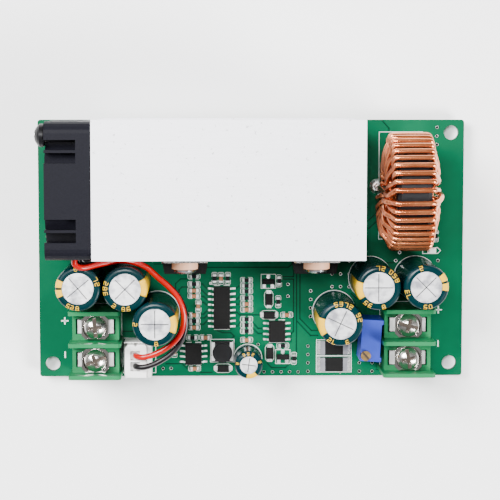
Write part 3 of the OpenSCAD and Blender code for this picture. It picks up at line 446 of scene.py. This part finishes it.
COIL_AT = (35.4, 14, 15.1)
CORE_OD, CORE_ID, CORE_W = 24.2, 14.2, 7.6
WIRE_D = 1.2
HALF_TURNS = 20
TURN_PITCH = 8.6
FIRST_TURN, LAST_TURN = 4, 351
# how far a turn has moved on to the next one at each point of its section
TURN_SHARE = (0, 0, 0.04, 0.08, 0.12, 0.18, 0.24, 0.3, 0.5, 0.6, 0.72, 0.84, 0.94)
LEFT_END = [(-6.1, 0.5, -17.1), (-6.1, 0.5, -12.2), (-6.1, 0.5, -4), (-6.1, 0.1, 3),
            (-6.1, -0.1, 7), (-5.8, -0.4, 9.8), (-5.1, 0.2, 11.4)]
RIGHT_END = [(5.1, -1.6, 11.2), (5.9, -1, 9.6), (6.3, -0.5, 7), (6.3, -0.2, 3), (6.1, 0.5, -4),
             (6.1, 0.5, -12.2), (6.1, 0.5, -17.1)]


def turn_section(layer, slack):
    """One turn as (x, radius): over the rim, down the right face and back through the hole."""
    r = WIRE_D / 2 + 0.05
    x, out = CORE_W / 2 + r, CORE_OD / 2 + r
    up = layer * (WIRE_D + 0.05)
    inner = CORE_ID / 2 - r - up
    return [(0.2 - x, out - 0.25), (1.3 - x, out + 0.05), (x - 1.3, out + 0.05),
            (x - 0.2, out - 0.25), (x + 0.05, out - 1.5), (x + 0.9 * up, inner + 2.6),
            (x + up - 0.1, inner + 0.8), (x + up - 0.9, inner), (0.9 - x - up, inner),
            (0.1 - x - up - slack / 2, inner + 0.7), (-x - up - slack, inner + 2),
            (-x - 0.7 * up - slack, 9.6), (-x - 0.1 - 0.4 * slack, out - 1.6)]


def turn_angle(i):
    """Direction of a turn from the top of the ring, in degrees."""
    if i < HALF_TURNS:
        return FIRST_TURN + TURN_PITCH * i
    return LAST_TURN - TURN_PITCH * (2 * HALF_TURNS - 1 - i)


def coil_path():
    """The wire's middle line: up from one pad, round the ring in two layers, down to the other."""
    at = Vector(COIL_AT)
    path = [at + Vector(q) for q in LEFT_END]
    last = 2 * HALF_TURNS - 1
    for i in range(last + 1):
        step = TURN_PITCH if i == last else turn_angle(i + 1) - turn_angle(i)
        section = turn_section((i + 1) % 2, -0.1 if i < HALF_TURNS else 0.8)
        for k in range(4 if i == last else len(section)):
            x, r = section[k]
            a = math.radians(turn_angle(i) + step * TURN_SHARE[k])
            path.append(at + Vector((x, r * math.sin(a), r * math.cos(a))))
    return path + [at + Vector(q) for q in RIGHT_END]


def make_winding():
    wire = Shape()
    wire.tube(smooth_route(coil_path(), 3), WIRE_D / 2, 10)
    obj = wire.piece("winding", "copper")
    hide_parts("inductor_winding")


# ------------------------------------------------------------------ board print and pads

CAPS = [(-38.8, -6.95, 180), (-28.4, -7.15, 5), (-21.85, -14.95, 0),
        (19.4, -14.9, 188), (27.8, -6.9, 187), (38.4, -6.8, 15)]
SMALL_CAP = (-0.8, -25.8, -75)
BLOCKS = [(-35.8, -20.9), (35.7, -20.6)]
CHIPS = [(-6.9, -13.8, 8), (-13.55, -24.7, 4), (6.0, -19.45, 4)]
SMALL_INDUCTOR = (-6.8, -24.1)
SHUNTS = [(19.4, -23.4), (19.4, -27.3)]
DIODES = [(-6.6, -28.2, 0), (4.2, -15.6, 0), (4.1, -11.9, 90), (4.3, -24.6, 90)]
SMALL_TRANSISTORS = [(4.0, -7.7), (7.4, -25.5)]
RESISTORS = [
    (-13.4, -6.5, 0), (-13.4, -8.3, 0), (-13.4, -17.0, 0), (-13.8, -20.9, 0),
    (-8.6, -7.0, 90), (-5.5, -7.0, 90), (-1.1, -7.4, 0), (-1.1, -8.7, 0), (-1.1, -10.0, 0),
    (-1.1, -11.6, 0), (-1.1, -16.6, 0), (-1.1, -18.0, 0), (-1.1, -19.4, 0), (6.5, -7.6, 90),
    (6.3, -12.5, 90), (7.4, -22.9, 0), (10.0, -25.9, 90), (43.1, 2.9, 90)]
CAPACITORS = [
    (-13.4, -9.8, 0), (-13.4, -11.1, 0), (-12.4, -13.5, 90), (-13.4, -15.6, 0),
    (-13.4, -18.5, 0), (-10.7, -20.9, 0), (-13.3, -28.2, 0), (-18.0, -24.2, 90),
    (-7.1, -7.0, 90), (-1.1, -13.0, 0), (-1.1, -14.3, 0), (-1.1, -21.5, 0), (8.3, -15.6, 0)]
VIAS = ([(43.2, y) for y in (28.2, 26.2, 24.2, 12.1, 10.1, 8.1, 6.1)]
        + [(x, y) for x in (18.9, 20.9, 22.9) for y in (-6, -9)]
        + [(13.9, -10 - 2 * i) for i in range(4)] + [(13.3, -23 - 2 * i) for i in range(4)]
        + [(3 + 2 * i, -29.1) for i in range(5)]
        + [(x, y) for x in (25.4, 28.4) for y in (-27, -29)]
        + [(34.7, -1), (22.9, -2.9), (33.8, -2.9), (43.7, -2.9), (20.9, -29.1), (8.6, -8.4),
           (8.6, -11.2), (1.6, -22.6), (1.6, -24), (-20.7, -28.2), (-18.8, -28.2)])
# gaps between the copper areas, which show darker through the green mask
GAPS = [
    [(-10.3, -4.4), (8.7, -4.4), (9.8, -3.4)],
    [(7.4, -6.6), (9.9, -6.6), (9.9, -3.8)],
    [(7.6, -7.2), (9.9, -7.2), (9.9, -19.5), (9.3, -20.1), (9.3, -22.0)],
    [(10.6, -4.4), (10.6, -27.4)],
    [(11.4, -4.4), (11.4, -16.5), (14.1, -19.3), (16.0, -19.3)],
    [(10.8, -17.2), (13.9, -20.5), (15.6, -20.5)],
    [(-11.9, -8.3), (-11.4, -8.3), (-10.4, -9.4)],
    [(-11.9, -9.8), (-11.5, -9.8), (-10.4, -10.9)],
    [(-11.9, -11.2), (-11.2, -11.2), (-10.4, -12.0)],
    [(-11.6, -12.6), (-11.2, -12.6), (-10.4, -13.3)],
    [(-11.9, -15.4), (-11.2, -15.4), (-10.4, -14.6)],
    [(-11.9, -16.3), (-11.0, -16.3), (-10.4, -15.8)],
    [(-11.9, -17.8), (-11.2, -17.8), (-10.4, -17.0)],
    [(-3.4, -9.3), (-2.7, -8.6)], [(-3.4, -11.9), (-2.7, -11.2)], [(-3.4, -13.1), (-2.7, -13.1)],
    [(-4.8, -15.0), (-3.3, -15.0), (-2.7, -15.6), (2.0, -15.6)],
    [(-3.4, -18.3), (-2.7, -17.6)],
    [(-8.0, -19.3), (-6.7, -19.8), (-4.8, -19.8), (-4.0, -20.6), (-4.8, -21.4), (-9.0, -21.4)],
    [(0.5, -17.6), (1.6, -18.8), (2.4, -18.8)], [(0.5, -18.9), (1.6, -20.0), (2.4, -20.0)],
    [(-15.0, -7.1), (-16.5, -7.1), (-17.7, -8.2), (-17.7, -12.0)],
    [(-15.0, -9.0), (-16.2, -9.0), (-16.9, -9.7), (-16.9, -19.8), (-15.6, -19.8)],
    [(3.7, -27.0), (4.8, -28.1), (8.0, -28.1), (8.9, -27.2)],
    [(-20.0, -27.1), (-16.2, -27.1), (-15.0, -28.3)],
    [(-12.0, -29.2), (-9.2, -29.2)],
    [(-30.3, -19.4), (-27.2, -19.4), (-26.6, -18.8)],
    [(30.4, 29.8), (32.0, 28.0), (32.0, 24.8)],
    [(27.4, 6.6), (29.5, 8.5), (29.5, 10.6)], [(27.4, 4.6), (30.6, 7.6)],
    [(23.4, -10.6), (24.6, -11.8)], [(24.8, -3.4), (33.2, -3.4)],
    [(-22.6, -3.6), (-17.6, -3.6), (-16.4, -4.8)],
    [(29.4, -28.6), (31.4, -28.6), (32.2, -29.4)]]


PAD = (-0.01, 0.045)      # lower and upper face of a pad, from the board's upper face
CHIP_PITCH = 1.27


def on_board(x, y, turn=0):
    return Matrix.Translation((x, y, TOP)) @ Matrix.Rotation(math.radians(turn), 4, "Z")


def make_gaps():
    s = Shape()
    for points in GAPS:
        s.route(points, 0.26, TOP - 0.01, TOP + 0.008)
    s.piece("copper_gaps", "gap")


def make_silk():
    s = Shape()
    z0, z1, w = TOP - 0.01, TOP + 0.025, 0.14
    s.frame_line(29.75, 2.15, 39.8, 27.15, w, z0, z1)
    for x, y, _ in CAPS[2:]:
        s.ring((x, y), 5.0, 5.13, z0, z1, 48)
    s.ring(SMALL_CAP[:2], 3.25, 3.37, z0, z1, 40)
    for x, y in BLOCKS:
        s.frame_line(x - 5.5, y - 8.1, x + 5.5, y + 8.1, w, z0, z1)
    s.frame_line(-30.0, -29.2, -22.4, -21.0, w, z0, z1)
    # each chip part stands between two brackets
    for x, y, turn in RESISTORS + CAPACITORS:
        for side in (-1, 1):
            s.route([(side * 0.4, 0.62), (side * 1.2, 0.62), (side * 1.42, 0.42),
                     (side * 1.42, -0.42), (side * 1.2, -0.62), (side * 0.4, -0.62)],
                    0.09, z0, z1, on_board(x, y, turn))
    for x, y, rows in CHIPS:
        half = rows * CHIP_PITCH / 2 + 0.12
        s.route([(x - 1.75, y - half), (x + 1.75, y - half)], 0.15, z0, z1)
        for side in (-1, 1):
            s.route([(x + side * 0.5, y + half), (x + side * 1.75, y + half)], 0.15, z0, z1)
        s.ring((x - 2.6, y + half + 0.45), 0.12, 0.32, z0, z1, 16)
    for x, y, turn in DIODES:
        for side in (-1, 1):
            s.route([(-1.9, side * 0.6), (-1.3, side * 1.02), (1.3, side * 1.02),
                     (1.9, side * 0.6)], 0.1, z0, z1, on_board(x, y, turn))
    for x, y in SMALL_TRANSISTORS:
        s.frame_line(x - 1.7, y - 1.65, x + 1.7, y + 1.65, 0.1, z0, z1)
    x, y = SMALL_INDUCTOR
    s.frame_line(x - 2.75, y - 2.6, x + 2.75, y + 2.75, 0.12, z0, z1)
    for x, y in SHUNTS:
        s.frame_line(x - 4.1, y - 1.87, x + 4.1, y + 1.87, 0.11, z0, z1)
    s.band([(40.1, -1.25), (43.6, -1.25), (44.3, -0.55), (43.6, 0.15), (40.1, 0.15)],
           0.12, z0, z1)
    # signs of the poles
    for x, y in ((-43.6, -16.9), (43.9, -14.5)):
        s.line((x - 0.7, y), (x + 0.7, y), 0.3, z0, z1)
        s.line((x, y - 0.7), (x, y + 0.7), 0.3, z0, z1)
        s.line((x, y - 8.6), (x, y - 7.4), 0.3, z0, z1)
    s.piece("silk_print", "silk")


def make_pads():
    s = Shape()
    for x, y in VIAS:
        s.ring((x, y), 0.3, 0.36, TOP + PAD[0], TOP + PAD[1], 20)
    for x, y, turn in RESISTORS + CAPACITORS:
        for side in (-1, 1):
            s.side_box(side, (0.6, 1.1), (-0.4, 0.4), PAD, on_board(x, y, turn))
    for x, y, rows in CHIPS:
        for i in range(rows):
            for side in (-1, 1):
                cy = (i - (rows - 1) / 2) * CHIP_PITCH
                s.side_box(side, (2.35, 3.2), (cy - 0.21, cy + 0.21), PAD, on_board(x, y))
    for x, y, turn in DIODES:
        for side in (-1, 1):
            s.side_box(side, (1.35, 2.1), (-0.55, 0.55), PAD, on_board(x, y, turn))
    for x, y in SMALL_TRANSISTORS:
        for px, py in ((-0.95, -1.15), (0.95, -1.15), (0, 1.15)):
            s.box((px - 0.4, py - 0.4, PAD[0]), (px + 0.4, py + 0.4, PAD[1]), on_board(x, y))
    for x, y in SHUNTS:
        for side in (-1, 1):
            s.side_box(side, (2.3, 3.9), (-1.6, 1.6), PAD, on_board(x, y))
    s.piece("pads", "solder")


def make_via_shade():
    """Painted shade in the vias: dark fills that stand for the shadow inside the holes."""
    s = Shape()
    for x, y in VIAS:
        s.turned([(0, 0.1), (0.29, 0.1), (0.29, TOP - 0.1), (0, TOP - 0.1)], 16,
                 Matrix.Translation((x, y, 0)))
    s.piece("via_shade", "painted_via_shade")


def make_chip_ends():
    """Tin-plated ends of the chip parts, with a fillet of solder at each."""
    s = Shape()
    for group, height in ((RESISTORS, 0.47), (CAPACITORS, 0.82)):
        for x, y, turn in group:
            place = on_board(x, y, turn)
            for side in (-1, 1):
                s.side_box(side, (0.52, 0.82), (-0.42, 0.42), (0.02, height), place)
                outline = [(side * 0.8, 0.03), (side * 1.05, 0.03), (side * 0.92, height * 0.35),
                           (side * 0.8, height * 0.75)]
                stand = place @ Matrix.Rotation(math.pi / 2, 4, "X")
                s.prism(outline, -0.4, 0.4, stand)
    # metal ends of the small inductor's base
    for side in (-1, 1):
        s.side_box(side, (1.75, 2.57), (-2.2, 2.2), (0.02, 1.23), on_board(*SMALL_INDUCTOR))
    s.piece("chip_ends", "tinned", bevel=0.05)


def make_shunt_ends():
    s = Shape()
    for x, y in SHUNTS:
        for side in (-1, 1):
            s.side_box(side, (2.1, 3.22), (-1.61, 1.61), (0.02, 0.68), on_board(x, y))
    s.piece("shunt_ends", "shunt_metal", bevel=0.08)


# ------------------------------------------------------------------ capacitors

SHOULDER = 0.85           # radius of a sleeve's shoulder
# the sleeve of each capacitor: x, y, edge of the lid, radius, top
SLEEVES = [(x, y, 3.5, 5.0, 23.75) for x, y, _ in CAPS] + [(*SMALL_CAP[:2], 2.0, 3.2, 12.75)]
STRIPES = [way for _, _, way in CAPS] + [SMALL_CAP[2]]
SEGMENTS = {"0": "abcdef", "1": "bc", "2": "abged", "3": "abgcd", "4": "fgbc", "5": "afgcd",
            "6": "afgedc", "7": "abc", "8": "abcdefg", "9": "abcdfg"}
# plain digits round each shoulder: direction of the first one, and the digits
PRINT = [[(96, "8"), (28, "72"), (240, "5"), (268, "82")], [(192, "382"), (236, "2"), (280, "96")],
         [(180, "2"), (274, "8")], [(104, "5372"), (26, "92"), (250, "72"), (290, "3")],
         [(92, "72"), (52, "058"), (244, "35"), (285, "8")],
         [(106, "2"), (208, "73"), (282, "05")], [(116, "352"), (172, "8"), (16, "2")]]


DIGIT_STEP = 75           # degrees from one digit to the next, on a sleeve of radius 1


def on_sleeve(sleeve, way, d, lift):
    """Point on a sleeve, the distance d from the lid's edge: flat, over the shoulder and down."""
    x, y, lap, r, top = sleeve
    flat = r - SHOULDER - lap
    bend = (d - flat) / SHOULDER
    if bend < 0:
        q = (lap + d, top + lift)
    elif bend < math.pi / 2:
        q = (r - SHOULDER + (SHOULDER + lift) * math.sin(bend),
             top - SHOULDER + (SHOULDER + lift) * math.cos(bend))
    else:
        q = (r + lift, top - SHOULDER * (1 + bend - math.pi / 2))
    a = math.radians(way)
    return (x + q[0] * math.cos(a), y + q[0] * math.sin(a), q[1])


def patch(s, sleeve, ways, depths):
    """Thin closed film of print over the given directions and distances."""
    n, m = len(depths), len(ways)
    verts = [on_sleeve(sleeve, w, d, lift) for lift in (0.02, -0.03) for d in depths for w in ways]
    faces = []
    for k in range(n - 1):
        for i in range(m - 1):
            a, b = k * m + i, (k + 1) * m + i
            faces.append([a, a + 1, b + 1, b])
            faces.append([n * m + a, n * m + b, n * m + b + 1, n * m + a + 1])
    edge = (list(range(m)) + [k * m + m - 1 for k in range(1, n)]
            + [(n - 1) * m + i for i in range(m - 2, -1, -1)]
            + [k * m for k in range(n - 2, 0, -1)])
    for a, b in zip(edge, edge[1:] + edge[:1]):
        faces.append([a, a + n * m, b + n * m, b])
    s.add(verts, faces, True)


def spread(a, b, n):
    """The n + 1 values that divide the way from a to b evenly."""
    return [a + (b - a) * i / n for i in range(n + 1)]


def print_digit(s, sleeve, way, digit):
    """Digit of seven segments, with its foot towards the lid."""
    scale = sleeve[3] / 5
    step = math.degrees(0.32 / (sleeve[3] - 0.4)) * scale
    foot, middle, head = 0.45 * scale, 0.95 * scale, 1.45 * scale
    pen_d, pen_a = 0.07 * scale, step * 0.22
    places = {"a": (-step, step, head, head), "d": (-step, step, foot, foot),
              "g": (-step, step, middle, middle), "b": (-step, -step, middle, head),
              "c": (-step, -step, foot, middle), "f": (step, step, middle, head),
              "e": (step, step, foot, middle)}
    for name in SEGMENTS[digit]:
        a0, a1, d0, d1 = places[name]
        patch(s, sleeve, spread(way + a0 - pen_a, way + a1 + pen_a, 3),
              spread(d0 - pen_d, d1 + pen_d, 4))


def make_print():
    """Negative stripe and plain digits of each sleeve."""
    s = Shape()
    for n, (sleeve, way, rows) in enumerate(zip(SLEEVES, STRIPES, PRINT)):
        down = 6.35 if n == len(CAPS) else 19.0
        depths = spread(0.03, 2.3, 10) + [down]
        # a dark dash splits the stripe of the outermost two
        split = n in (0, len(CAPS) - 1)
        for a, b in ((-25, -3.2), (3.2, 25)) if split else ((-25, 25),):
            patch(s, sleeve, spread(way + a, way + b, 8), depths)
        for start, digits in rows:
            for i, digit in enumerate(digits):
                print_digit(s, sleeve, start - i * DIGIT_STEP / sleeve[3], digit)
    s.piece("sleeve_print", "stripe")


SCORES = [40, 45, 0, 65, 0, 45, -8]  # direction of one of the two grooves on each lid


def make_scores():
    """Painted shade on the floors of the vent grooves in the lids."""
    s = Shape()
    for (x, y, lap, r, top), turn in zip(SLEEVES, SCORES):
        half = 3.1 if lap > 3 else 1.6
        for way in (turn, turn + 90):
            place = (Matrix.Translation((x, y, top - 0.30))
                     @ Matrix.Rotation(math.radians(way), 4, "Z"))
            s.box((-half, -0.1, 0), (half, 0.1, 0.03), place)
    s.piece("vent_grooves", "groove")


# ------------------------------------------------------------------ painted shade in the screw recesses

SCREW_TURN = (95, 22, -15, 100)
HEAD_TOP = 13.7
POLE_PITCH = 7.62
TRIMMER_AT, TRIMMER_TURN = (27.25, -20.4), -3.7
TRIMMER_SCREW = (-1, -3.5, 10.1)  # floor of the screw's slot, from the trimmer's middle
BLADE = 0.42              # half width of a terminal screw's slot


def make_recesses():
    """Painted shade on the floors of the drive recesses, turning with each screw."""
    poles = [(x, y + side * POLE_PITCH / 2) for x, y in BLOCKS for side in (1, -1)]
    for n, ((x, y), turn) in enumerate(zip(poles, SCREW_TURN), 1):
        place = (Matrix.Translation((x, y, HEAD_TOP))
                 @ Matrix.Rotation(math.radians(turn), 4, "Z"))
        s = Shape()
        s.box((-1.25, -BLADE, -1.3), (1.25, BLADE, -1.27), place)
        for side in (-1, 1):
            a, b = sorted((side * BLADE, side * 1.25))
            s.box((-BLADE, a, -1.3), (BLADE, b, -1.27), place)
            s.side_box(side, (1.29, 2.2), (-BLADE, BLADE), (-0.9, -0.87), place)
            a, b = sorted((side * 1.29, side * 1.56))
            s.box((-BLADE, a, -0.6), (BLADE, b, -0.57), place)
        s.piece("screw_recess_%d" % n, "recess", "clamp_screw_%d" % n)
    # painted shade on the floor of the trimmer screw's slot
    trimmer = (on_board(*TRIMMER_AT, TRIMMER_TURN) @ Matrix.Translation(TRIMMER_SCREW)
               @ Matrix.Rotation(math.radians(-45), 4, "Z"))
    s = Shape()
    s.box((-1.08, -0.24, 0), (1.08, 0.24, 0.03), trimmer)
    s.piece("trimmer_slot_shade", "recess", "trimmer_adjuster")


def make_floor():
    bpy.ops.mesh.primitive_plane_add(size=6, location=(0, 0, -TAIL * MM))
    floor = bpy.context.object
    floor.name = "floor"
    floor.data.materials.append(material("floor", (0.96, 0.96, 0.96), rough=0.8, vary=0.01,
                                         scale=40))


make_camera()
make_leads()
make_light()
make_floor()
dress_cad_nodes()
make_winding()
make_gaps()
make_silk()
make_pads()
make_via_shade()
make_chip_ends()
make_shunt_ends()
make_print()
make_scores()
make_recesses()

for name, width in (("heat_sink", 0.12), ("input_terminal_housing", 0.12),
                    ("output_terminal_housing", 0.12), ("fan_plug", 0.12), ("fan_header", 0.08),
                    ("trimmer_body", 0.12)):
    soften(name, width)
for i in range(1, 5):
    soften("wire_clamp_%d" % i, 0.15)
